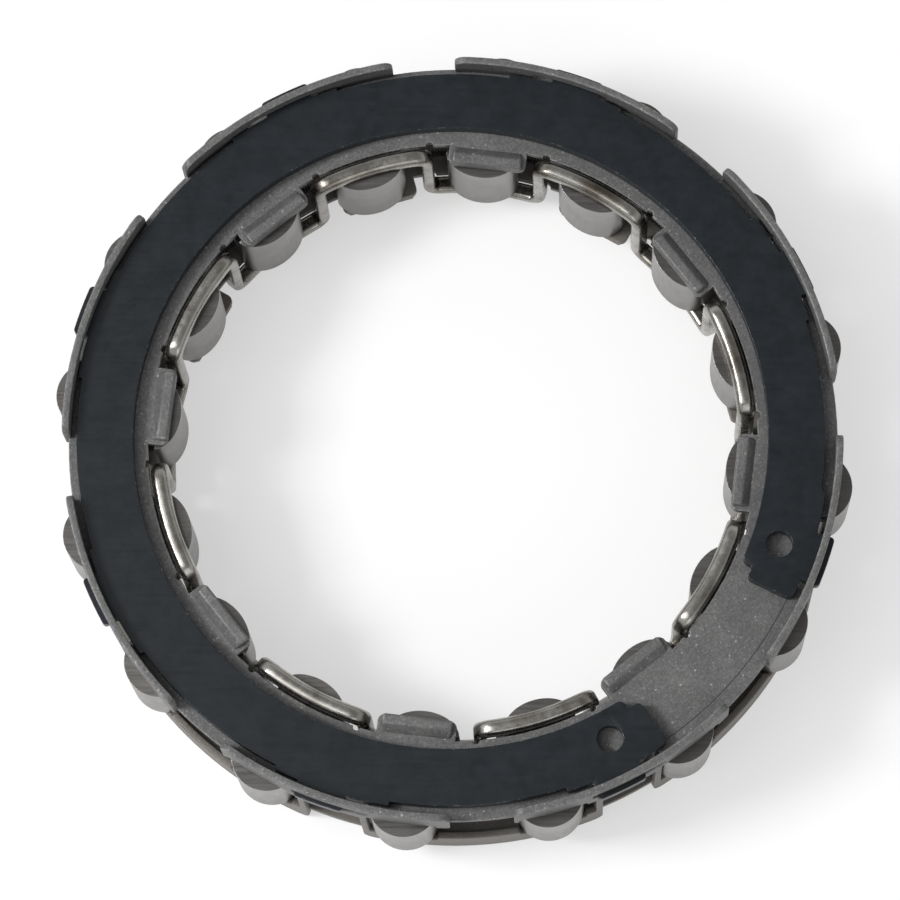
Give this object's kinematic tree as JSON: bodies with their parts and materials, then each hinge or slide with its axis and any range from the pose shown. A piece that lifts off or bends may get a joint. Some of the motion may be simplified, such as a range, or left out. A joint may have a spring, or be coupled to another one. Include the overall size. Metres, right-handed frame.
{
  "type": "sprag clutch",
  "caption": "Free sprag clutch insert: castellated outer cage, inner meander ring, waisted sprags, end springs and an open retaining clip with plier holes.",
  "frame": {"origin": "on the clutch axis, half way along the clutch", "axes": "+Z along the clutch axis towards the side with the retaining clip; the clip's gap lies between +X and -Y"},
  "size_m": [0.0546, 0.0546, 0.0124],
  "materials": {
    "phosphated_steel": "matt phosphated",
    "formed_steel": "satin",
    "black_oxide_steel": "satin black oxide",
    "spring_steel": "drawn wire",
    "ground_steel": "ground"
  },
  "bodies": {
    "cage": {"outer_cage": "phosphated_steel", "meander_ring": "formed_steel", "retaining_clip": "black_oxide_steel", "spring_upper": "spring_steel", "spring_lower": "spring_steel"},
    "sprag_01": {"sprag_01": "ground_steel"},
    "sprag_02": {"sprag_02": "ground_steel"},
    "sprag_03": {"sprag_03": "ground_steel"},
    "sprag_04": {"sprag_04": "ground_steel"},
    "sprag_05": {"sprag_05": "ground_steel"},
    "sprag_06": {"sprag_06": "ground_steel"},
    "sprag_07": {"sprag_07": "ground_steel"},
    "sprag_08": {"sprag_08": "ground_steel"},
    "sprag_09": {"sprag_09": "ground_steel"},
    "sprag_10": {"sprag_10": "ground_steel"},
    "sprag_11": {"sprag_11": "ground_steel"},
    "sprag_12": {"sprag_12": "ground_steel"},
    "sprag_13": {"sprag_13": "ground_steel"},
    "sprag_14": {"sprag_14": "ground_steel"},
    "sprag_15": {"sprag_15": "ground_steel"},
    "sprag_16": {"sprag_16": "ground_steel"}
  },
  "joints": [
    {"name": "sprag_01_lean", "type": "hinge", "parent": "cage", "child": "sprag_01", "pos_m": [0.02488, -0.00334, 0], "axis": [0, 0, -1], "range_deg": [0, 18], "stiffness_Nm_per_rad": 0.05},
    {"name": "sprag_02_lean", "type": "hinge", "parent": "cage", "child": "sprag_02", "pos_m": [0.02426, 0.00643, 0], "axis": [0, 0, -1], "range_deg": [0, 18], "stiffness_Nm_per_rad": 0.05},
    {"name": "sprag_03_lean", "type": "hinge", "parent": "cage", "child": "sprag_03", "pos_m": [0.01996, 0.01523, 0], "axis": [0, 0, -1], "range_deg": [0, 18], "stiffness_Nm_per_rad": 0.05},
    {"name": "sprag_04_lean", "type": "hinge", "parent": "cage", "child": "sprag_04", "pos_m": [0.01261, 0.02171, 0], "axis": [0, 0, -1], "range_deg": [0, 18], "stiffness_Nm_per_rad": 0.05},
    {"name": "sprag_05_lean", "type": "hinge", "parent": "cage", "child": "sprag_05", "pos_m": [0.00334, 0.02488, 0], "axis": [0, 0, -1], "range_deg": [0, 18], "stiffness_Nm_per_rad": 0.05},
    {"name": "sprag_06_lean", "type": "hinge", "parent": "cage", "child": "sprag_06", "pos_m": [-0.00643, 0.02426, 0], "axis": [0, 0, -1], "range_deg": [0, 18], "stiffness_Nm_per_rad": 0.05},
    {"name": "sprag_07_lean", "type": "hinge", "parent": "cage", "child": "sprag_07", "pos_m": [-0.01523, 0.01996, 0], "axis": [0, 0, -1], "range_deg": [0, 18], "stiffness_Nm_per_rad": 0.05},
    {"name": "sprag_08_lean", "type": "hinge", "parent": "cage", "child": "sprag_08", "pos_m": [-0.02171, 0.01261, 0], "axis": [0, 0, -1], "range_deg": [0, 18], "stiffness_Nm_per_rad": 0.05},
    {"name": "sprag_09_lean", "type": "hinge", "parent": "cage", "child": "sprag_09", "pos_m": [-0.02488, 0.00334, 0], "axis": [0, 0, -1], "range_deg": [0, 18], "stiffness_Nm_per_rad": 0.05},
    {"name": "sprag_10_lean", "type": "hinge", "parent": "cage", "child": "sprag_10", "pos_m": [-0.02426, -0.00643, 0], "axis": [0, 0, -1], "range_deg": [0, 18], "stiffness_Nm_per_rad": 0.05},
    {"name": "sprag_11_lean", "type": "hinge", "parent": "cage", "child": "sprag_11", "pos_m": [-0.01996, -0.01523, 0], "axis": [0, 0, -1], "range_deg": [0, 18], "stiffness_Nm_per_rad": 0.05},
    {"name": "sprag_12_lean", "type": "hinge", "parent": "cage", "child": "sprag_12", "pos_m": [-0.01261, -0.02171, 0], "axis": [0, 0, -1], "range_deg": [0, 18], "stiffness_Nm_per_rad": 0.05},
    {"name": "sprag_13_lean", "type": "hinge", "parent": "cage", "child": "sprag_13", "pos_m": [-0.00334, -0.02488, 0], "axis": [0, 0, -1], "range_deg": [0, 18], "stiffness_Nm_per_rad": 0.05},
    {"name": "sprag_14_lean", "type": "hinge", "parent": "cage", "child": "sprag_14", "pos_m": [0.00643, -0.02426, 0], "axis": [0, 0, -1], "range_deg": [0, 18], "stiffness_Nm_per_rad": 0.05},
    {"name": "sprag_15_lean", "type": "hinge", "parent": "cage", "child": "sprag_15", "pos_m": [0.01523, -0.01996, 0], "axis": [0, 0, -1], "range_deg": [0, 18], "stiffness_Nm_per_rad": 0.05},
    {"name": "sprag_16_lean", "type": "hinge", "parent": "cage", "child": "sprag_16", "pos_m": [0.02171, -0.01261, 0], "axis": [0, 0, -1], "range_deg": [0, 18], "stiffness_Nm_per_rad": 0.05}
  ],
  "couplings": [
    {"joint": "sprag_02_lean", "follows": "sprag_01_lean", "ratio": 1},
    {"joint": "sprag_03_lean", "follows": "sprag_01_lean", "ratio": 1},
    {"joint": "sprag_04_lean", "follows": "sprag_01_lean", "ratio": 1},
    {"joint": "sprag_05_lean", "follows": "sprag_01_lean", "ratio": 1},
    {"joint": "sprag_06_lean", "follows": "sprag_01_lean", "ratio": 1},
    {"joint": "sprag_07_lean", "follows": "sprag_01_lean", "ratio": 1},
    {"joint": "sprag_08_lean", "follows": "sprag_01_lean", "ratio": 1},
    {"joint": "sprag_09_lean", "follows": "sprag_01_lean", "ratio": 1},
    {"joint": "sprag_10_lean", "follows": "sprag_01_lean", "ratio": 1},
    {"joint": "sprag_11_lean", "follows": "sprag_01_lean", "ratio": 1},
    {"joint": "sprag_12_lean", "follows": "sprag_01_lean", "ratio": 1},
    {"joint": "sprag_13_lean", "follows": "sprag_01_lean", "ratio": 1},
    {"joint": "sprag_14_lean", "follows": "sprag_01_lean", "ratio": 1},
    {"joint": "sprag_15_lean", "follows": "sprag_01_lean", "ratio": 1},
    {"joint": "sprag_16_lean", "follows": "sprag_01_lean", "ratio": 1}
  ]
}
